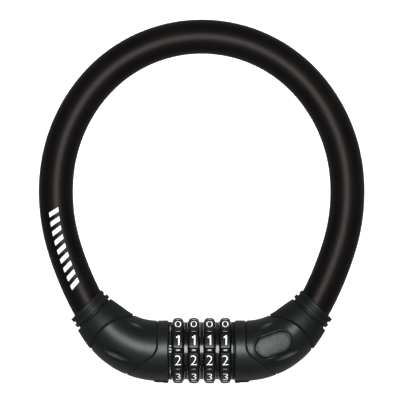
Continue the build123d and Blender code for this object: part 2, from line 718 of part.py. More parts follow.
def assembly():
    """Every piece, by node name."""
    pieces = cable_pieces()
    pieces["left_end_housing"] = left(end_housing(CORE_BASE_R + SKIN_GAP))
    pieces["right_end_housing"] = right_end_housing()
    back, front = cover_half(False), cover_half(True)
    pieces["left_cover_front"] = left(front)
    pieces["left_cover_back"] = left(back)
    pieces["right_cover_front"] = front - z_prism(button_area(BUTTON_GAP), 0, END_R + 4)
    pieces["right_cover_back"] = back
    pieces["left_cover_screws"] = [left(s) for s in cover_screws()]
    pieces["right_cover_screws"] = cover_screws()
    pieces["left_anchor_block"] = left_anchor_block()
    pieces["right_anchor_block"] = right_anchor_block()
    pieces["left_ferrule"], pieces["right_ferrule"] = left(ferrule()), ferrule()
    pieces["left_anchor_pin"], pieces["right_anchor_pin"] = left(anchor_pin()), anchor_pin()
    pieces["left_cable_boot"], pieces["right_cable_boot"] = left(cable_boot()), cable_boot()
    pieces["cable_rope_left_end"] += left(rope_tail())
    pieces["cable_rope_right_end"] += rope_tail()
    pieces["lock_core"] = lock_core()
    pieces["dial_spacers"] = dial_spacers()
    pieces["dial_end_disc"] = dial_end_disc()
    pieces["code_set_ring"] = code_set_ring()
    pieces["detent_balls"] = detent_balls()
    pieces["detent_springs"] = detent_springs()
    wheel, clutch = dial_wheel(), clutch_ring()
    for k in range(DIAL_COUNT):
        pieces[f"dial_wheel_{k + 1}"] = Pos(dial_x(k), 0, 0) * wheel
        pieces[f"clutch_ring_{k + 1}"] = Pos(dial_x(k), 0, 0) * clutch
    pieces["plug_pin"] = plug_pin()
    pieces["release_button"] = release_button()
    pieces["button_spring"] = button_spring()
    pieces["catch_lever"] = catch_lever()
    pieces["catch_pivot_pin"] = catch_pivot_pin()
    return pieces


# The model stands on the floor under its dials, with its footprint centred on the origin.
LIFT = WHEEL_CROWN_R
SHIFT_Y = -(TOP.Y + CABLE_R - WHEEL_CROWN_R * cos(radians(180 / DIGITS - BAR_HALF_ANGLE))) / 2


def main():
    os.makedirs("parts", exist_ok=True)
    for name, piece in assembly().items():
        solids = piece if isinstance(piece, list) else [piece]
        moved = [Pos(0, SHIFT_Y, LIFT) * s for s in solids]
        shape = moved[0] if len(moved) == 1 else Compound(children=[Compound(s.wrapped) for s in moved])
        export_step(shape, f"parts/{name}.step")


if __name__ == "__main__":
    main()
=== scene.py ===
import json
from math import atan2, cos, degrees, hypot, pi, radians, sin, tan

import bpy
import numpy as np
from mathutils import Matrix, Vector
from mathutils.geometry import tessellate_polygon


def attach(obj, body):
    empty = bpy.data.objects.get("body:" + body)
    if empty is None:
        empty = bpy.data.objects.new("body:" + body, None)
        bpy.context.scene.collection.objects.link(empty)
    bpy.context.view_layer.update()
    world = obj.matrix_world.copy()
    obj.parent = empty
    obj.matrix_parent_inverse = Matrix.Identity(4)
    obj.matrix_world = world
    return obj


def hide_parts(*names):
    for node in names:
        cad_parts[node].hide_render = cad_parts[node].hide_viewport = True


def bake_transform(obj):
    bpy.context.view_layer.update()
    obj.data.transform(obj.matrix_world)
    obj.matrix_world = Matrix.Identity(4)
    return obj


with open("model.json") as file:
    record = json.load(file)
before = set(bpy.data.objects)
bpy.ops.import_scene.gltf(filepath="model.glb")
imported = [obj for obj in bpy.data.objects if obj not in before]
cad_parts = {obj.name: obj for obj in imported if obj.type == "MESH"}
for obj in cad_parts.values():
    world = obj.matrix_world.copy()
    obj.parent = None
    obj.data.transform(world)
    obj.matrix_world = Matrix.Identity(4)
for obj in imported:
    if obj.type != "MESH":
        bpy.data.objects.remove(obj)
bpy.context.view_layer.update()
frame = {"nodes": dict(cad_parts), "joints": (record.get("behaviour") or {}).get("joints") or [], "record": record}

# Sizes are in millimetres in the lock's own frame: origin in the middle of the dials, +X along the lock axis
# towards the plug, +Y towards the top of the ring and +Z out of the front.
MM = 0.001
FRONT = np.array([0, 0, 1.0])


def joint_place(name):
    """Where a joint is at rest, in the row frame, in millimetres."""
    found = next(j for j in frame["joints"] if j["name"] == name)
    return np.array(found["pos_m"]) / MM


DIAL_X = [joint_place(f"dial_{k}_turn")[0] for k in (1, 2, 3, 4)]
AXIS = joint_place("dial_1_turn") * (0, 1, 1)
TOP = joint_place("cable_flex_top") - AXIS

# ---- cable ---------------------------------------------------------------------------------------------
CABLE_R = 8.0
UPPER_ARCS = ((66.0, 50.0), (74.0, 35.0), (87.0, 22.0))
LOWER_ARCS = ((150.0, 11.0), (36.0, 16.0))
CABLE_TAIL = 4.0
TOP_BEND = 54.0
SIDE_BEND = 22.0
PRINT_BARS = 9
PRINT_FROM = 19.0  # from the knuckle to the first bar, towards the boot
PRINT_PITCH = 4.3
PRINT_BAR_WIDTH = 2.1
PRINT_SLANT = 1.1
PRINT_HALF_HEIGHT = 2.3
PRINT_SHIFT = 1.2  # towards the outside of the ring
PRINT_LIFT = 0.03
PRINT_ROWS = 5
PRINT_COLUMNS = 9

# ---- dials ---------------------------------------------------------------------------------------------
DIGITS = 10
DIGIT_TURN = 360 / DIGITS
FIRST_NUMERAL_TURN = 54.0
WHEEL_HALF = 2.85
WHEEL_RIM_HALF = 1.8
WHEEL_RIM_R = 15.45
WHEEL_CROWN_R = 15.88
WHEEL_SHOULDER_R = 13.3
WHEEL_BORE_R = 9.2
FACET_R = 15.05
GROOVE_R = 14.3
BAR_HALF = 0.915
BAR_ROUND = 0.6
FACET_BULGE = 0.25
FACET_ANGLES = (4.4, 4.7, 5.3, 6, 7, 9, 11, 13, 15, 17, 18)
FACET_LIP_ANGLE = 4.5
FACET_LIP = 0.3
FACET_BELOW_RIM = 0.12
GROOVE_ANGLE = 3.9
WHEEL_STATIONS = (0.0, 0.4, 0.8, 1.2, 1.5, 1.7, 1.8, 1.9, 2.1, 2.35, 2.6, 2.8)
DIAL_TURN = 3.3
NUMERAL_HEIGHT = 4.7
NUMERAL_LIFT = 0.03
DISC_R = 13.5
DULL_X = 14.35
DULL_FADE = 0.05
WAVE_BAND = 1  # depth below the rim in which a wave acts
RING_X = (-15.3, -13.85)
KNURLS = 60
KNURL_DEPTH = 0.45
RING_HOLE_R = 10.1
KNURL_EDGES = (0.24, 0.46)
RING_CHAMFER = (0.2, 0.25)
SPACER_BORE_R = 7.0
SPACER_RIMS = ((0.75, 0.12), (0.63, 0.0), (0.36, 0.0), (0.24, 0.22), (0.0, 0.26))  # half width, depth

# ---- elbow housings ------------------------------------------------------------------------------------
FACE_X = 15.35
ELBOW_STRAIGHT = 4.4
ELBOW_BEND_R = 33.0
ELBOW_TURN = 46.0
ELBOW_CONE = 9.5
END_R = 14.2
BOOT_R = 10.7
NECK_R = 9.3
RIBS = ((11.35, 10.35), (14.35, 9.9))
RIB_HALF = 1.0
RIB_OFFSET = 0.5
SHIELD_CENTRE = (33.0, -2.75)
SHIELD_R = 18.8
SHIELD_EDGE_TURN = 36.0
COLLAR_X = 20.6
COLLAR_BEND = (28.6, 3.5)
COLLAR_BEND_R = 8.0
COLLAR_BEND_TURN = 54.0
BUTTON_AT = (33.3, 3.4)
BUTTON_TILT = 19.5
BUTTON_LENGTH = 16.6
BUTTON_WIDTH = 9.3
SCREW_STATIONS = ((20.0, 8.6), (24.0, -8.6))
SCREW_HOLE_R = 2.25
SCREW_SEAT_Z = -6.4
SCREW_HOLE_SNAP = 0.17
FLUTES = (((24.4, 8.8), (35.4, 13.4)), ((33.2, -3.9), (46.2, 1.7)))
FLUTE_DEPTH = 1.15
FLUTE_WIDTH = 3.4
SEAM_DEPTH = 0.6
SEAM_HALF = 0.42
COVER_SEAM = 0.3  # depth and half width of the seam between the two covers
BOOT_RISE = 0.25
BOOT_RISE_EDGE = (0.1, 0.7)
BOOT_RISE_FADE = (3.0, 9.0)
WELL_RIM_OUT = 0.95
WELL_RIM_HALF = 0.5
WELL_RIM_HEIGHT = 0.2
WELL_EDGE = (-0.6, -0.3)
WELL_DEPTH = 1.6
FOOT_HEIGHT = 0.65
FOOT_SIDE = (0.9, 0.93)
FOOT_WIDTH = (2.6, 3.0)
FOOT_END = (5.9, 6.2)
EDGE_LENGTH = 0.8
EDGE_ROUND = 0.98
TUCK_LENGTH = 0.6
TUCK_DEPTH = 0.5
RIB_ROUND = 0.35
KEYHOLE_R = 3.1
KEYHOLE_SLOT_HALF = 1.5
KEYHOLE_SLOT_END = 7.9
CATCH_WINDOW = ((-1.8, 1.8), (6.85, 10.9))
TAB_NOTCH = ((-1.45, 1.45), (11.6, 13.2))
CORE_HOLE_R = 9.1
BUTTON_INSET = 0.18
BUTTON_LIFT = 0.12
BUTTON_DOME = 0.30
BUTTON_ROLL = 0.45
BUTTON_ROLL_WIDTH = 0.9
BUTTON_SKIRT = 1.6
BUTTON_SPREAD = 1.6  # how soon the rings reach the button's full straight length
GRID_S = 184
GRID_TURN = 400

# ---- stage: TABLE_HALF and CAMERA_DISTANCE are in metres ---------------------------------------------------
TABLE_DROP = 0.3
TABLE_HALF = 6.0
TABLE_GLOW = 0.62
SKY_HEIGHTS = (0.45, 0.95)
SKY_STRENGTHS = (0.05, 0.30)
GROUND_HEIGHTS = (-0.1, 0.05)
GROUND_STRENGTHS = (0.26, 0.0)
VIEW_WIDTH = 186.4
VIEW_CENTRE = (-0.77, 0.75)
CAMERA_DISTANCE = 1.6
SENSOR = 36.0

BEND_END_S = ELBOW_STRAIGHT + radians(ELBOW_TURN) * ELBOW_BEND_R
SLEEVE_END_S = BEND_END_S + ELBOW_CONE


# ---- mesh helpers --------------------------------------------------------------------------------------
def new_object(name, points, faces, material, smooth_angle=40):
    """Mesh from points in the lock's frame, in millimetres."""
    mesh = bpy.data.meshes.new(name)
    placed = (np.asarray(points, float) + AXIS) * MM
    mesh.from_pydata(placed.tolist(), [], [list(map(int, f)) for f in faces])
    mesh.validate()
    mesh.shade_smooth()
    mesh.set_sharp_from_angle(angle=radians(smooth_angle))
    mesh.materials.append(material)
    made = bpy.data.objects.new(name, mesh)
    bpy.context.scene.collection.objects.link(made)
    return made


def grid_faces(rows, columns, closed=True):
    """Quads of a grid whose points are numbered row by row; closed joins the last column to the first."""
    last = columns if closed else columns - 1
    a = np.arange(rows - 1)[:, None] * columns + np.arange(last)[None, :]
    b = np.arange(rows - 1)[:, None] * columns + (np.arange(last)[None, :] + 1) % columns
    return np.stack([a, b, b + columns, a + columns], axis=-1).reshape(-1, 4)


def mirrored(points):
    return np.asarray(points) * (-1, 1, 1)


def flipped(faces):
    return [list(f)[::-1] for f in faces]


def side_points(points, faces, side):
    """Points and faces for one half of the lock: side is 1 for the plug and -1 for the dial housing."""
    return (points, faces) if side > 0 else (mirrored(points), flipped(faces))


def half_names(side):
    """Word in the node names, and body, of one half of the lock."""
    return ("right", "plug") if side > 0 else ("left", "lock_body")


def smooth_step(value, low, high):
    t = np.clip((value - low) / (high - low), 0, 1)
    return t * t * (3 - 2 * t)


def turned(name, profile, material, around=192, wave=None, smooth_angle=40):
    """Surface turned about the lock axis from (x, radius) points; wave(angles) adds to the outer radii."""
    angles = np.linspace(0, 2 * pi, around, endpoint=False)
    points = []
    for x, r in profile:
        radii = np.full(around, float(r))
        if wave is not None and r > DISC_R - WAVE_BAND:
            radii = radii + wave(angles)
        along = np.full(around, float(x))
        points.append(np.stack([along, radii * np.sin(angles), radii * np.cos(angles)], 1))
    return new_object(name, np.concatenate(points), grid_faces(len(profile), around), material, smooth_angle)


# ---- materials -----------------------------------------------------------------------------------------
def material(name, base, roughness, metallic=0.0, specular=0.5, tint=(1, 1, 1)):
    """Principled material; uniform values go on the shader's own sockets."""
    made = bpy.data.materials.new(name)
    made.use_nodes = True
    shader = made.node_tree.nodes["Principled BSDF"]
    shader.inputs["Base Color"].default_value = (*base, 1)
    shader.inputs["Roughness"].default_value = roughness
    shader.inputs["Metallic"].default_value = metallic
    shader.inputs["Specular IOR Level"].default_value = specular
    shader.inputs["Specular Tint"].default_value = (*tint, 1)
    return made, shader


def noise(made, scale, detail=4.0, stretch=(1, 1, 1), kind="ShaderNodeTexNoise"):
    """Noise in object space; scale is in cells per metre."""
    nodes, links = made.node_tree.nodes, made.node_tree.links
    place = nodes.new("ShaderNodeTexCoord")
    mapping = nodes.new("ShaderNodeMapping")
    mapping.inputs["Scale"].default_value = stretch
    texture = nodes.new(kind)
    texture.inputs["Scale"].default_value = scale
    if "Detail" in texture.inputs:
        texture.inputs["Detail"].default_value = detail
    links.new(place.outputs["Object"], mapping.inputs["Vector"])
    links.new(mapping.outputs["Vector"], texture.inputs["Vector"])
    return texture


def spread(made, socket, low, high):
    """Maps a 0 to 1 texture output onto low to high."""
    node = made.node_tree.nodes.new("ShaderNodeMapRange")
    node.inputs["To Min"].default_value = low
    node.inputs["To Max"].default_value = high
    made.node_tree.links.new(socket, node.inputs["Value"])
    return node.outputs["Result"]


def vary_colour(made, shader, socket, dark, light):
    """Colour from dark to light, driven by a texture."""
    ramp = made.node_tree.nodes.new("ShaderNodeValToRGB")
    ramp.color_ramp.elements[0].position = 0.3
    ramp.color_ramp.elements[0].color = (*dark, 1)
    ramp.color_ramp.elements[1].position = 0.7
    ramp.color_ramp.elements[1].color = (*light, 1)
    made.node_tree.links.new(socket, ramp.inputs["Fac"])
    made.node_tree.links.new(ramp.outputs["Color"], shader.inputs["Base Color"])


def bump(made, shader, socket, height_mm, strength=1.0):
    node = made.node_tree.nodes.new("ShaderNodeBump")
    node.inputs["Strength"].default_value = strength
    node.inputs["Distance"].default_value = height_mm * MM
    made.node_tree.links.new(socket, node.inputs["Height"])
    made.node_tree.links.new(node.outputs["Normal"], shader.inputs["Normal"])
    return node


def moulded(name, dark, light, roughness, grain_scale, grain_mm, specular=0.5, tint=(1, 1, 1)):
    """Moulded plastic: mottled colour, uneven gloss and a fine grain."""
    made, shader = material(name, dark, sum(roughness) / 2, specular=specular, tint=tint)
    mottle = noise(made, 60.0)
    vary_colour(made, shader, mottle.outputs["Fac"], dark, light)
    gloss = noise(made, 350.0, 6.0)
    made.node_tree.links.new(spread(made, gloss.outputs["Fac"], *roughness), shader.inputs["Roughness"])
    grain = noise(made, grain_scale, 3.0)
    bump(made, shader, grain.outputs["Fac"], grain_mm)
    return made


def metal(name, dark, light, roughness, stretch=(1, 1, 1)):
    """Machined metal with fine marks along one direction."""
    made, shader = material(name, dark, sum(roughness) / 2, metallic=1.0)
    marks = noise(made, 900.0, 5.0, stretch)
    vary_colour(made, shader, marks.outputs["Fac"], dark, light)
    made.node_tree.links.new(spread(made, marks.outputs["Fac"], *roughness), shader.inputs["Roughness"])
    bump(made, shader, marks.outputs["Fac"], 0.02)
    return made


def ramp(tree, socket, inputs, outputs):
    """Value that goes from one output to the other as the socket goes from one input to the other."""
    node = tree.nodes.new("ShaderNodeMapRange")
    node.inputs["From Min"].default_value = inputs[0]
    node.inputs["From Max"].default_value = inputs[1]
    node.inputs["To Min"].default_value = outputs[0]
    node.inputs["To Max"].default_value = outputs[1]
    tree.links.new(socket, node.inputs["Value"])
    return node


def dull_beyond(made, x_mm):
    """Takes the gloss off the part of a material that lies past x, in the row frame."""
    tree = made.node_tree
    place = tree.nodes.new("ShaderNodeTexCoord")
    split = tree.nodes.new("ShaderNodeSeparateXYZ")
    tree.links.new(place.outputs["Object"], split.inputs["Vector"])
    step = ramp(tree, split.outputs["X"], (x_mm * MM, (x_mm + DULL_FADE) * MM), (0.5, 0.05))
    tree.links.new(step.outputs["Result"], tree.nodes["Principled BSDF"].inputs["Specular IOR Level"])


VINYL = moulded("vinyl", (0.0022, 0.0018, 0.0018), (0.0036, 0.0030, 0.0030), (0.34, 0.42), 220.0, 0.02,
                specular=0.13, tint=(1.0, 0.9, 0.86))
HOUSING = moulded("housing_plastic", (0.0042, 0.0050, 0.0044), (0.0072, 0.0086, 0.0076), (0.30, 0.42),
                  2600.0, 0.012, specular=0.42, tint=(0.93, 1.0, 0.97))
SHIELD = moulded("shield_plastic", (0.0036, 0.0044, 0.0039), (0.0066, 0.0080, 0.0071), (0.28, 0.40),
                 1500.0, 0.03, specular=0.36, tint=(0.93, 1.0, 0.97))
BOOT = moulded("boot_rubber", (0.0036, 0.0044, 0.0039), (0.0062, 0.0074, 0.0066), (0.42, 0.54), 2200.0, 0.015,
               specular=0.2, tint=(0.93, 1.0, 0.97))
DIAL = moulded("dial_plastic", (0.0030, 0.0036, 0.0034), (0.0056, 0.0064, 0.0062), (0.16, 0.26), 900.0, 0.006,
              specular=0.85)
DISC = moulded("disc_plastic", (0.0026, 0.0032, 0.0032), (0.0048, 0.0056, 0.0056), (0.10, 0.18), 900.0, 0.004,
               specular=0.85)
BUTTON = moulded("button_plastic", (0.020, 0.026, 0.023), (0.048, 0.057, 0.052), (0.34, 0.46), 1500.0, 0.45,
                 specular=0.5)
END_DISC = moulded("end_disc_plastic", (0.0026, 0.0032, 0.0032), (0.0048, 0.0056, 0.0056), (0.10, 0.18),
                   900.0, 0.004)
dull_beyond(END_DISC, DULL_X)
PAINT = moulded("numeral_paint", (0.80, 0.82, 0.80), (0.90, 0.91, 0.89), (0.35, 0.5), 1500.0, 0.01)
PRINT = moulded("cable_print", (0.66, 0.66, 0.65), (0.86, 0.86, 0.85), (0.35, 0.5), 1500.0, 0.01)
CASTING = metal("zinc_casting", (0.30, 0.30, 0.31), (0.42, 0.42, 0.43), (0.40, 0.60))
STEEL = metal("turned_steel", (0.42, 0.42, 0.43), (0.60, 0.60, 0.61), (0.22, 0.36), (0.05, 1, 1))
ROPE = metal("wire_rope", (0.35, 0.35, 0.36), (0.55, 0.55, 0.56), (0.30, 0.45))
BLACK_STEEL = metal("blackened_steel", (0.03, 0.03, 0.03), (0.07, 0.07, 0.07), (0.30, 0.45))

SLOT_MATERIAL = {
    "vinyl": VINYL,
    "rope": ROPE,
    "housing": HOUSING,
    "boot": BOOT,
    "dial": DIAL,
    "disc": DISC,
    "button": BUTTON,
    "casting": CASTING,
    "hard_steel": STEEL,
    "screw_steel": BLACK_STEEL,
}


def finish_cad_nodes():
    """Gives every CAD node its procedural material."""
    slot_of = {p["node"]: p["material_slot"] for p in frame["record"]["subparts"]}
    for name, node in frame["nodes"].items():
        node.data.materials.clear()
        node.data.materials.append(END_DISC if name == "dial_end_disc" else SLOT_MATERIAL[slot_of[name]])


# ---- cable ---------------------------------------------------------------------------------------------
def arc_points(start, heading, radius, degrees_turned, step=1.0):
    """Points and headings along an arc that turns clockwise."""
    turn = radians(degrees_turned)
    count = max(2, int(round(radius * turn / step)))
    angles = heading - np.linspace(0, turn, count + 1)
    centre = np.array(start) + radius * np.array([sin(heading), -cos(heading)])
    points = centre + radius * np.stack([-np.sin(angles), np.cos(angles)], 1)
    return points, angles


def right_route():
    """Centreline of the right half, from the top into the boot: points, headings and the knuckle's row."""
    start, heading = TOP[:2], 0.0
    points, headings = [np.array([start])], [np.array([heading])]
    knuckle_row = 0
    for part, arcs in enumerate((UPPER_ARCS, LOWER_ARCS)):
        for radius, turn in arcs:
            arc, angles = arc_points(start, heading, radius, turn)
            points.append(arc[1:])
            headings.append(angles[1:])
            start, heading = arc[-1], angles[-1]
        if part == 0:
            knuckle_row = sum(len(p) for p in points) - 1
    tail = start + np.outer(np.linspace(1, CABLE_TAIL, 4), [cos(heading), sin(heading)])
    points.append(tail)
    headings.append(np.full(4, heading))
    return np.concatenate(points), np.concatenate(headings), knuckle_row


ROUTE, ROUTE_HEADING, KNUCKLE_ROW = right_route()
ROUTE_LENGTH = np.concatenate([[0], np.cumsum(np.linalg.norm(np.diff(ROUTE, axis=0), axis=1))])
SPLIT_ROW = int(np.searchsorted(ROUTE_LENGTH, (ROUTE_LENGTH[KNUCKLE_ROW] - SIDE_BEND + TOP_BEND) / 2))


def tube_points(centres, headings, radius, angles):
    """Rings about a flat centreline; angle 0 is the front and a quarter turn is the left of the heading."""
    side = np.stack([-np.sin(headings), np.cos(headings), np.zeros(len(headings))], 1)
    centre = np.column_stack([centres, np.zeros(len(centres))])
    ring = np.sin(angles)[None, :, None] * side[:, None, :] + np.cos(angles)[None, :, None] * FRONT
    return (centre[:, None, :] + radius * ring).reshape(-1, 3)


def cable_tube(name, rows, side, ring=96):
    """Smooth vinyl sleeve over some rows of the route."""
    angles = np.linspace(0, 2 * pi, ring, endpoint=False)
    points = tube_points(ROUTE[rows], ROUTE_HEADING[rows], CABLE_R, angles)
    points, faces = side_points(points, grid_faces(len(rows), ring)[:, ::-1], side)
    return new_object(name, points, faces, VINYL, 180)


def full_top_tube(ring=96):
    """Sleeve over the top of the ring, from one side's split to the other's."""
    rows = np.arange(SPLIT_ROW, -1, -1)
    centres = np.concatenate([ROUTE[rows] * (-1, 1), ROUTE[1 : SPLIT_ROW + 1]])
    headings = np.concatenate([-ROUTE_HEADING[rows], ROUTE_HEADING[1 : SPLIT_ROW + 1]])
    angles = np.linspace(0, 2 * pi, ring, endpoint=False)
    points = tube_points(centres, headings, CABLE_R, angles)
    return new_object("cable_sleeve_top_skin", points, grid_faces(len(centres), ring)[:, ::-1], VINYL, 180)


def print_bars():
    """Generic slanted bars printed along the left side of the cable."""
    first = ROUTE_LENGTH[KNUCKLE_ROW] + PRINT_FROM
    across = np.linspace(-PRINT_HALF_HEIGHT, PRINT_HALF_HEIGHT, PRINT_COLUMNS)
    r = CABLE_R + PRINT_LIFT
    points, faces = [], []
    for k in range(PRINT_BARS):
        base = first - k * PRINT_PITCH
        for edge in np.linspace(0, PRINT_BAR_WIDTH, PRINT_ROWS):
            for v in across:
                length = base - edge + PRINT_SLANT * v / PRINT_HALF_HEIGHT
                x = np.interp(length, ROUTE_LENGTH, ROUTE[:, 0])
                y = np.interp(length, ROUTE_LENGTH, ROUTE[:, 1])
                h = np.interp(length, ROUTE_LENGTH, ROUTE_HEADING)
                angle = (v + PRINT_SHIFT) / CABLE_R
                points.append((x - sin(h) * r * sin(angle), y + cos(h) * r * sin(angle), r * cos(angle)))
        bar_faces = grid_faces(PRINT_ROWS, PRINT_COLUMNS, closed=False)
        faces.append(bar_faces + k * PRINT_ROWS * PRINT_COLUMNS)
    points, faces = side_points(np.array(points), np.concatenate(faces), -1)
    return new_object("cable_print_bars", points, faces, PRINT)


def build_cable():
    for side, word, end_body in ((-1, "left", "lock_body"), (1, "right", "plug")):
        skin = cable_tube(f"cable_sleeve_{word}_skin", np.arange(SPLIT_ROW, len(ROUTE)), side)
        pieces = [skin]
        if side < 0:
            pieces.append(print_bars())
        for piece in pieces:
            if side < 0:
                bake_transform(piece)
            else:
                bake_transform(piece)
        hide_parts(f"cable_sleeve_{word}_end")
    top = full_top_tube()
    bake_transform(top)
    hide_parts("cable_sleeve_left", "cable_sleeve_right")


# ---- elbow housings ------------------------------------------------------------------------------------
def elbow_radius(s):
    return END_R - (END_R - BOOT_R) * (s / SLEEVE_END_S) ** 2


def elbow_centre(s):
    """Centreline point and heading of the right elbow, for an array of stations."""
    turned_by = np.clip((s - ELBOW_STRAIGHT) / ELBOW_BEND_R, 0, radians(ELBOW_TURN))
    past = np.clip(s - BEND_END_S, 0, None)
    x = FACE_X + np.minimum(s, ELBOW_STRAIGHT) + ELBOW_BEND_R * np.sin(turned_by) + past * np.cos(turned_by)
    y = ELBOW_BEND_R * (1 - np.cos(turned_by)) + past * np.sin(turned_by)
    return x, y, turned_by


def to_shield(x, y):
    """Distance past the seam between cover and boot; negative on the cover."""
    disc = np.hypot(x - SHIELD_CENTRE[0], y - SHIELD_CENTRE[1]) - SHIELD_R
    edge_station = ELBOW_STRAIGHT + radians(SHIELD_EDGE_TURN) * ELBOW_BEND_R
    edge_x, edge_y, heading = elbow_centre(np.array(edge_station))
    along = (x - edge_x) * np.cos(heading) + (y - edge_y) * np.sin(heading)
    inside = -(x - edge_x) * np.sin(heading) + (y - edge_y) * np.cos(heading)
    return np.where(inside > 0, np.minimum(disc, along), disc)


def to_collar(x, y):
    """Distance past the seam between collar and cover; negative on the collar."""
    vx, vy = x - COLLAR_BEND[0], y - COLLAR_BEND[1]
    turn = radians(COLLAR_BEND_TURN)
    angle = np.arctan2(-vy, -vx)
    arc = COLLAR_BEND_R - np.hypot(vx, vy)
    end_x = COLLAR_BEND[0] - COLLAR_BEND_R * cos(turn)
    end_y = COLLAR_BEND[1] - COLLAR_BEND_R * sin(turn)
    slant = (x - end_x) * cos(turn) + (y - end_y) * sin(turn)
    return np.where(vy >= 0, x - COLLAR_X, np.where((angle < turn) & (angle > 0), arc, slant))


def to_button(x, y):
    """Distance outside the button's rounded outline."""
    tilt = radians(BUTTON_TILT)
    u = (x - BUTTON_AT[0]) * np.cos(tilt) + (y - BUTTON_AT[1]) * np.sin(tilt)
    v = -(x - BUTTON_AT[0]) * np.sin(tilt) + (y - BUTTON_AT[1]) * np.cos(tilt)
    straight = (BUTTON_LENGTH - BUTTON_WIDTH) / 2
    return np.hypot(np.maximum(np.abs(u) - straight, 0), v) - BUTTON_WIDTH / 2


def lens(x, y, start, end, width):
    """1 along a lens-shaped flute between two points, falling to 0 at its edge."""
    length = hypot(end[0] - start[0], end[1] - start[1])
    ux, uy = (end[0] - start[0]) / length, (end[1] - start[1]) / length
    u = (x - (start[0] + end[0]) / 2) * ux + (y - (start[1] + end[1]) / 2) * uy
    v = -(x - (start[0] + end[0]) / 2) * uy + (y - (start[1] + end[1]) / 2) * ux
    q = (2 * u / length) ** 2 + (2 * v / width) ** 2
    return np.clip(1 - q, 0, 1)


def groove(distance, half_width):
    """1 in the middle of a seam, falling to 0 at half_width."""
    return 1 - smooth_step(np.abs(distance), 0.0, half_width)


def screw_points():
    """Middle of each screw hole in the back cover of the right elbow."""
    middles = []
    for angle, offset in SCREW_STATIONS:
        r, turn = ELBOW_BEND_R - offset, radians(angle)
        middles.append((FACE_X + ELBOW_STRAIGHT + r * sin(turn), ELBOW_BEND_R - r * cos(turn)))
    return middles


def open_screw_holes(points, faces):
    """Moves the back's nearest points onto each screw hole's rim; tells which faces lie inside a hole."""
    inside = np.zeros(len(faces), bool)
    for x0, y0 in screw_points():
        dx, dy = points[:, 0] - x0, points[:, 1] - y0
        distance = np.hypot(dx, dy)
        rim = (points[:, 2] < 0) & (np.abs(distance - SCREW_HOLE_R) < SCREW_HOLE_SNAP)
        points[rim, 0] = x0 + dx[rim] * SCREW_HOLE_R / distance[rim]
        points[rim, 1] = y0 + dy[rim] * SCREW_HOLE_R / distance[rim]
        distance[rim] = SCREW_HOLE_R
        within = (distance <= SCREW_HOLE_R) & (points[:, 2] < 0)
        inside |= within[faces].all(1)
    return inside


def build_screw_holes(side):
    """Walls of the counterbores that the cover screws sit in."""
    word, body = half_names(side)
    angles = np.linspace(0, 2 * pi, 48, endpoint=False)
    points, faces = [], []
    for k, (x0, y0) in enumerate(screw_points()):
        x, y = x0 + SCREW_HOLE_R * np.cos(angles), y0 + SCREW_HOLE_R * np.sin(angles)
        points.append(np.stack([x, y, -surface_height(x, y) - 0.02], 1))
        points.append(np.stack([x, y, np.full(len(x), SCREW_SEAT_Z)], 1))
        faces.append(grid_faces(2, len(angles)) + 2 * len(angles) * k)
    points, faces = side_points(np.concatenate(points), np.concatenate(faces), side)
    holes = new_object(f"{word}_screw_holes", points, faces, SHIELD)
    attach(holes, body)


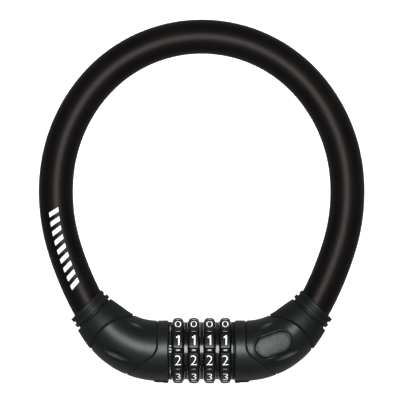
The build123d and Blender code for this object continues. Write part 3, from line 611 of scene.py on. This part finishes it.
def elbow_skin(side):
    """The elbow's outer skin as separate boot, front cover, back cover and collar pieces."""
    edge_stations = np.linspace(0, EDGE_LENGTH, 8, endpoint=False)
    s = np.concatenate([edge_stations, np.linspace(EDGE_LENGTH, SLEEVE_END_S, GRID_S)])
    phi = np.linspace(0, 2 * pi, GRID_TURN, endpoint=False)
    ss, pp = np.meshgrid(s, phi, indexing="ij")
    cx, cy, heading = elbow_centre(ss)
    base = elbow_radius(ss)
    x = cx - np.sin(heading) * base * np.sin(pp)
    y = cy + np.cos(heading) * base * np.sin(pp)
    z = base * np.cos(pp)
    shield, collar, button = to_shield(x, y), to_collar(x, y), to_button(x, y)
    front = z > 0
    on_cover = (shield < 0) & (collar > 0)
    depth = SEAM_DEPTH * np.maximum(groove(shield, SEAM_HALF) * (collar > -1), groove(collar, SEAM_HALF))
    depth = np.maximum(depth, COVER_SEAM * groove(z, COVER_SEAM) * on_cover)
    for start, end in FLUTES:
        depth = depth + FLUTE_DEPTH * lens(x, y, start, end, FLUTE_WIDTH) * front * on_cover
    raise_boot = BOOT_RISE * smooth_step(shield, *BOOT_RISE_EDGE) * (1 - smooth_step(shield, *BOOT_RISE_FADE))
    radius = base - depth + raise_boot
    if side > 0:
        rim = groove(button - WELL_RIM_OUT, WELL_RIM_HALF) * front
        well = smooth_step(-button, *WELL_EDGE) * front
        radius = radius + WELL_RIM_HEIGHT * rim - WELL_DEPTH * well
    foot = smooth_step(-np.sin(pp), *FOOT_SIDE) * (1 - smooth_step(np.abs(z), *FOOT_WIDTH))
    radius = radius + FOOT_HEIGHT * foot * (1 - smooth_step(ss, *FOOT_END))
    edge = np.clip(1 - ss / EDGE_LENGTH, 0, 1)
    radius = radius - EDGE_LENGTH * (1 - np.sqrt(1 - edge**2 * EDGE_ROUND))
    radius = radius - TUCK_DEPTH * smooth_step(ss, SLEEVE_END_S - TUCK_LENGTH, SLEEVE_END_S) ** 2
    points = np.stack([
        cx - np.sin(heading) * radius * np.sin(pp),
        cy + np.cos(heading) * radius * np.sin(pp),
        radius * np.cos(pp),
    ], -1).reshape(-1, 3)
    faces = grid_faces(len(s), GRID_TURN)
    middle_shield = shield.reshape(-1)[faces].mean(1)
    middle_collar = collar.reshape(-1)[faces].mean(1)
    middle_z = z.reshape(-1)[faces].mean(1)
    holes = open_screw_holes(points, faces)
    is_collar = middle_collar < 0
    is_boot = ~is_collar & (middle_shield > 0)
    rest = ~is_collar & ~is_boot
    zones = {
        "end_housing": (is_collar, HOUSING, "housing"),
        "cable_boot": (is_boot, BOOT, "boot"),
        "cover_front": (rest & (middle_z > 0), SHIELD, "housing"),
        "cover_back": (rest & (middle_z <= 0) & ~holes, SHIELD, "housing"),
    }
    return points, faces, zones


def compact(points, faces):
    """Only the points that the faces use."""
    used, place = np.unique(faces, return_inverse=True)
    return points[used], place.reshape(faces.shape)


def build_elbow(side):
    word, body = half_names(side)
    points, faces, zones = elbow_skin(side)
    for zone, (chosen, finish, slot) in zones.items():
        zone_points, zone_faces = compact(points, faces[chosen])
        zone_points, zone_faces = side_points(zone_points, zone_faces, side)
        skin = new_object(f"{word}_{zone}_skin", zone_points, zone_faces, finish, smooth_angle=55)
        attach(skin, body)
        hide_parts(f"{word}_{zone}")


def end_axis_ring(distance, radius, offset, angles):
    """Ring square to the straight axis of the boot's end."""
    x, y, heading = elbow_centre(np.array(BEND_END_S))
    along = np.array([cos(heading), sin(heading), 0])
    inwards = np.array([-sin(heading), cos(heading), 0])
    centre = np.array([x, y, 0]) + along * distance + inwards * offset
    return centre + radius * (np.sin(angles)[:, None] * inwards + np.cos(angles)[:, None] * FRONT)


def rib_profile(middle, radius):
    """Rounded rib: distance and radius pairs."""
    steps = [(middle - RIB_HALF, NECK_R)]
    for a in np.linspace(0, pi / 2, 5):
        steps.append((middle - RIB_HALF + RIB_ROUND * (1 - cos(a)), radius - RIB_ROUND * (1 - sin(a))))
    for a in np.linspace(0, pi / 2, 5):
        steps.append((middle + RIB_HALF - RIB_ROUND * (1 - sin(a)), radius - RIB_ROUND * (1 - cos(a))))
    return steps + [(middle + RIB_HALF, NECK_R)]


def build_ribs(side):
    """Neck and ribs of the boot."""
    word, body = half_names(side)
    angles = np.linspace(0, 2 * pi, 160, endpoint=False)
    rings = [(ELBOW_CONE - 0.1, BOOT_R - 0.6, 0.0), (ELBOW_CONE, NECK_R, 0.2)]
    for middle, radius in RIBS:
        rings += [(d, r, RIB_OFFSET) for d, r in rib_profile(middle, radius)]
    end = RIBS[-1][0] + RIB_HALF
    rings += [(end, CABLE_R - 0.2, 1.2)]
    points = np.concatenate([end_axis_ring(d, r, o, angles) for d, r, o in rings])
    points, faces = side_points(points, grid_faces(len(rings), len(angles)), side)
    ribs = new_object(f"{word}_boot_ribs", points, faces, BOOT, smooth_angle=35)
    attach(ribs, body)


def outline(*loops):
    """Flat face at the dial side of a collar from an outer loop and holes, as points and triangles."""
    flat = [[Vector((0, y, z)) for y, z in loop] for loop in loops]
    points = [(FACE_X, y, z) for loop in loops for y, z in loop]
    return np.array(points), np.array(tessellate_polygon(flat))


def circle(radius, count=96, first=0.0, last=2 * pi):
    ends = abs(last - first - 2 * pi) > 1e-6
    return [(radius * sin(a), radius * cos(a)) for a in np.linspace(first, last, count, endpoint=ends)]


def rectangle(y, z):
    return [(y[0], z[0]), (y[1], z[0]), (y[1], z[1]), (y[0], z[1])]


def build_collar_faces():
    """The flat faces that close the dial bay, with the plug's openings in the right one."""
    rim = circle(END_R - EDGE_LENGTH)
    start = atan2(KEYHOLE_SLOT_HALF, KEYHOLE_R)
    hole = circle(KEYHOLE_R, 40, -pi / 2 + start, 3 * pi / 2 - start)
    hole += [(-KEYHOLE_SLOT_END, -KEYHOLE_SLOT_HALF), (-KEYHOLE_SLOT_END, KEYHOLE_SLOT_HALF)]
    window = rectangle(*CATCH_WINDOW)
    notch = rectangle(*TAB_NOTCH)
    for side, loops in ((1, (rim, hole, window, notch)), (-1, (rim, circle(CORE_HOLE_R)))):
        word, body = half_names(side)
        points, faces = outline(*loops)
        a, b, c = points[faces[0]]
        normal = np.cross(b - a, c - a)
        if normal[0] > 0:
            faces = faces[:, ::-1]
        points, faces = side_points(points, faces, side)
        face = new_object(f"{word}_collar_face", points, faces, HOUSING)
        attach(face, body)


def surface_height(x, y):
    """Height of the right elbow's front over a point of the ring's plane, within the bend."""
    cx, cy = FACE_X + ELBOW_STRAIGHT, ELBOW_BEND_R
    turned_by = np.arctan2(x - cx, cy - y)
    offset = ELBOW_BEND_R - np.hypot(x - cx, y - cy)
    r = elbow_radius(ELBOW_STRAIGHT + ELBOW_BEND_R * turned_by)
    return np.sqrt(np.maximum(r**2 - offset**2, 0.0))


def build_button():
    """Domed release button with a rolled edge."""
    around, rings = 160, 40
    angles = np.linspace(0, 2 * pi, around, endpoint=False)
    straight = (BUTTON_LENGTH - BUTTON_WIDTH) / 2
    tilt = radians(BUTTON_TILT)
    half_width = BUTTON_WIDTH / 2 - BUTTON_INSET
    points = []
    for q in np.concatenate([np.linspace(0.02, 1, rings), [1.0, 1.0]]):
        ends = np.where(np.abs(np.cos(angles)) < 1e-6, 0, np.sign(np.cos(angles)))
        u = ends * straight * min(q * BUTTON_SPREAD, 1) + q * half_width * np.cos(angles)
        v = q * half_width * np.sin(angles)
        x = BUTTON_AT[0] + u * cos(tilt) - v * sin(tilt)
        y = BUTTON_AT[1] + u * sin(tilt) + v * cos(tilt)
        edge = -to_button(x, y) - BUTTON_INSET
        dome = BUTTON_DOME * (1 - (2 * v / BUTTON_WIDTH) ** 2) * (1 - (2 * u / BUTTON_LENGTH) ** 2)
        roll = BUTTON_ROLL * (1 - smooth_step(edge, 0.0, BUTTON_ROLL_WIDTH))
        points.append(np.stack([x, y, surface_height(x, y) + BUTTON_LIFT + dome - roll], 1))
    points[-1] = points[-1] - (0, 0, BUTTON_SKIRT)
    points = np.concatenate(points)
    faces = [list(f)[::-1] for f in grid_faces(rings + 2, around)]
    faces.append(list(range(around))[::-1])
    button = new_object("release_button_skin", points, faces, BUTTON, smooth_angle=60)
    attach(button, "button")
    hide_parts("release_button")


# ---- dials ---------------------------------------------------------------------------------------------
def wheel_section():
    """Angle, radius and height share of one wheel's outline; the share is 1 on a bar and 0 elsewhere."""
    flat_half = degrees((BAR_HALF - BAR_ROUND) / WHEEL_CROWN_R)
    half = [(0.0, WHEEL_CROWN_R, 1)]
    for t in np.radians((0, 18, 36, 54, 72, 86)):
        angle = flat_half + degrees(BAR_ROUND * sin(t) / WHEEL_CROWN_R)
        half.append((angle, WHEEL_CROWN_R - BAR_ROUND * (1 - cos(t)), 1))
    half.append((GROOVE_ANGLE, GROOVE_R, 0))
    facet_half = DIGIT_TURN / 2 - FACET_ANGLES[1]
    for angle in FACET_ANGLES:
        from_middle = DIGIT_TURN / 2 - angle
        bulge = FACET_BULGE * (from_middle / facet_half) ** 2
        lip = FACET_LIP * (angle < FACET_LIP_ANGLE)
        half.append((angle, FACET_R / cos(radians(from_middle)) - bulge - lip, 0))
    mirror = [(DIGIT_TURN - a, r, share) for a, r, share in half[-2:0:-1]]
    section = {}
    for k in range(DIGITS):
        for angle, radius, share in half + mirror:
            section[round((DIGIT_TURN * k + angle) % 360, 4)] = (radius, share)
    angles = sorted(section)
    radii = np.array([section[a][0] for a in angles])
    shares = np.array([section[a][1] for a in angles])
    return np.radians(np.array(angles) + DIAL_TURN), radii, shares


def barrel_radius(x):
    """Limit of a wheel's radius at x from its middle: crowned rim, then a chamfer."""
    x = abs(x)
    crown = WHEEL_CROWN_R - (WHEEL_CROWN_R - WHEEL_RIM_R) * (x / WHEEL_RIM_HALF) ** 4
    slope = (WHEEL_RIM_R - WHEEL_SHOULDER_R) / (WHEEL_HALF - WHEEL_RIM_HALF)
    return min(crown, WHEEL_RIM_R - slope * (x - WHEEL_RIM_HALF) + 0.05)


def build_wheel(k):
    angles, radii, shares = wheel_section()
    stations = sorted([-x for x in WHEEL_STATIONS[1:]] + list(WHEEL_STATIONS))
    rings = [(-WHEEL_HALF, None), *[(x, barrel_radius(x)) for x in stations], (WHEEL_HALF, None)]
    points = []
    for x, limit in rings:
        if limit is None:
            r = np.full(len(angles), WHEEL_BORE_R)
        else:
            on_bars = limit - (WHEEL_CROWN_R - radii)
            r = np.where(shares == 1, on_bars, np.minimum(radii, limit - FACET_BELOW_RIM))
        points.append(np.stack([np.full(len(angles), x), r * np.sin(angles), r * np.cos(angles)], 1))
    points = np.concatenate(points) + (DIAL_X[k], 0, 0)
    faces = grid_faces(len(rings), len(angles))[:, ::-1]
    wheel = new_object(f"dial_wheel_{k + 1}_skin", points, faces, DIAL, smooth_angle=32)
    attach(wheel, f"dial_{k + 1}")
    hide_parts(f"dial_wheel_{k + 1}")


ONE = ((0.03, -0.5), (0.15, -0.5), (0.15, 0.5), (0.06, 0.5), (-0.17, 0.33), (-0.17, 0.21), (0.03, 0.33))


def numeral_mesh(digit):
    """Flat mesh of a digit, centred, with unit height: points and faces."""
    if digit == 1:
        return np.array(ONE), [list(t) for t in tessellate_polygon([[Vector((x, y, 0)) for x, y in ONE]])]
    curve = bpy.data.curves.new("numeral", "FONT")
    curve.body = str(digit)
    curve.resolution_u = 8
    curve.offset = -0.02
    holder = bpy.data.objects.new("numeral", curve)
    bpy.context.scene.collection.objects.link(holder)
    bpy.context.view_layer.update()
    mesh = bpy.data.meshes.new_from_object(holder.evaluated_get(bpy.context.evaluated_depsgraph_get()))
    points = np.array([v.co[:] for v in mesh.vertices])
    faces = [list(p.vertices) for p in mesh.polygons]
    bpy.data.objects.remove(holder)
    bpy.data.curves.remove(curve)
    bpy.data.meshes.remove(mesh)
    low, high = points.min(0), points.max(0)
    points = (points - (low + high) / 2) / (high[1] - low[1])
    return points[:, :2], faces


def build_numerals():
    """Ten numerals on the flats of each wheel; the first is nearest the top of the ring."""
    digits = [numeral_mesh(d) for d in range(DIGITS)]
    for k, x0 in enumerate(DIAL_X):
        points, faces, count = [], [], 0
        for d, (flat, polygons) in enumerate(digits):
            tilt = radians(FIRST_NUMERAL_TURN - DIGIT_TURN * d + DIAL_TURN)
            out = np.array([0, sin(tilt), cos(tilt)])
            up = np.array([0, cos(tilt), -sin(tilt)])
            centre = np.array([x0, 0, 0]) + out * (FACET_R + NUMERAL_LIFT)
            points.append(centre + NUMERAL_HEIGHT * (flat[:, :1] * (1, 0, 0) + flat[:, 1:] * up))
            faces += [[i + count for i in p] for p in polygons]
            count += len(flat)
        numerals = new_object(f"dial_{k + 1}_numerals", np.concatenate(points), faces, PAINT)
        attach(numerals, f"dial_{k + 1}")


def build_discs():
    """Spacers between the dials and the knurled setting ring; the end disc with its index tab is left as the CAD
    node.
    """
    for k in range(3):
        x = (DIAL_X[k] + DIAL_X[k + 1]) / 2
        half = [(SPACER_RIMS[0][0], SPACER_BORE_R)]
        half += [(u, DISC_R - depth) for u, depth in SPACER_RIMS]
        profile = [(x + u, r) for u, r in half] + [(x - u, r) for u, r in half[-2::-1]]
        disc = turned(f"dial_spacer_{k + 1}_skin", profile, DISC, smooth_angle=25)
        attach(disc, "lock_body")
        if k == 0:
            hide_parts("dial_spacers")
    low, high = RING_X
    width, depth = RING_CHAMFER
    profile = [
        (low, RING_HOLE_R),
        (low, DISC_R - depth),
        (low + width, DISC_R),
        (high - width, DISC_R),
        (high, DISC_R - depth),
        (high, RING_HOLE_R),
    ]
    ring = turned("code_set_ring_skin", profile[::-1], DISC, KNURLS * 8, knurl_depth, smooth_angle=50)
    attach(ring, "code_ring")
    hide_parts("code_set_ring")


def knurl_depth(angles):
    """Narrow grooves between flat lands round the setting ring; a land faces the front."""
    place = np.abs((angles * KNURLS / (2 * pi) + 0.5) % 1 - 0.5)
    return -KNURL_DEPTH * smooth_step(place, *KNURL_EDGES)


# ---- stage ---------------------------------------------------------------------------------------------
def build_stage():
    """White table that the lock lies on, touching the dials and the top of the cable."""
    cable_bottom = AXIS[2] - CABLE_R
    tilt = atan2(cable_bottom, TOP[1])
    mesh = bpy.data.meshes.new("table")
    corners = []
    for sx, sy in ((-1, -1), (1, -1), (1, 1), (-1, 1)):
        y = AXIS[1] * MM + sy * TABLE_HALF
        corners.append((sx * TABLE_HALF, y, sy * TABLE_HALF * tan(tilt) - TABLE_DROP * MM))
    mesh.from_pydata(corners, [], [(0, 1, 2, 3)])
    table = bpy.data.objects.new("table", mesh)
    bpy.context.scene.collection.objects.link(table)
    made, shader = material("table_white", (0.86, 0.86, 0.86), 0.6)
    shader.inputs["Emission Color"].default_value = (1, 1, 1, 1)
    shader.inputs["Emission Strength"].default_value = TABLE_GLOW
    mesh.materials.append(made)
    table.visible_glossy = False


def area_light(name, place, size, watts, look_at=(0, 0, 0), glossy=True):
    light = bpy.data.lights.new(name, "AREA")
    light.shape = "DISK"
    light.size = size
    light.energy = watts
    lamp = bpy.data.objects.new(name, light)
    lamp.location = place
    lamp.rotation_euler = (Vector(look_at) - Vector(place)).to_track_quat("-Z", "Y").to_euler()
    lamp.visible_camera = False
    lamp.visible_glossy = glossy
    bpy.context.scene.collection.objects.link(lamp)


def build_lights():
    area_light("overhead_softbox", (0.0, 0.05, 0.75), 0.40, 4.4)
    area_light("fill", (0.0, 0.0, 0.9), 1.0, 12.0, glossy=False)
    world = bpy.data.worlds.new("studio")
    world.use_nodes = True
    tree = world.node_tree
    background = tree.nodes["Background"]
    background.inputs["Color"].default_value = (0.95, 1.0, 0.98, 1)
    place = tree.nodes.new("ShaderNodeTexCoord")
    split = tree.nodes.new("ShaderNodeSeparateXYZ")
    tree.links.new(place.outputs["Generated"], split.inputs["Vector"])
    sky = ramp(tree, split.outputs["Z"], SKY_HEIGHTS, SKY_STRENGTHS)
    sky.interpolation_type = "SMOOTHSTEP"
    ground = ramp(tree, split.outputs["Z"], GROUND_HEIGHTS, GROUND_STRENGTHS)
    total = tree.nodes.new("ShaderNodeMath")
    tree.links.new(sky.outputs["Result"], total.inputs[0])
    tree.links.new(ground.outputs["Result"], total.inputs[1])
    tree.links.new(total.outputs["Value"], background.inputs["Strength"])
    bpy.context.scene.world = world


def build_camera():
    """Straight down on the front with a long lens, framed as an upright square."""
    data = bpy.data.cameras.new("camera")
    data.sensor_width = SENSOR
    data.lens = SENSOR * CAMERA_DISTANCE / (VIEW_WIDTH * MM)
    camera = bpy.data.objects.new("camera", data)
    camera.location = (VIEW_CENTRE[0] * MM, VIEW_CENTRE[1] * MM, AXIS[2] * MM + CAMERA_DISTANCE)
    bpy.context.scene.collection.objects.link(camera)
    bpy.context.scene.camera = camera
    bpy.context.scene.view_settings.view_transform = "Standard"


finish_cad_nodes()
build_cable()
for half in (-1, 1):
    build_elbow(half)
    build_screw_holes(half)
    build_ribs(half)
build_collar_faces()
build_button()
for dial in range(4):
    build_wheel(dial)
build_numerals()
build_discs()
build_stage()
build_lights()
build_camera()
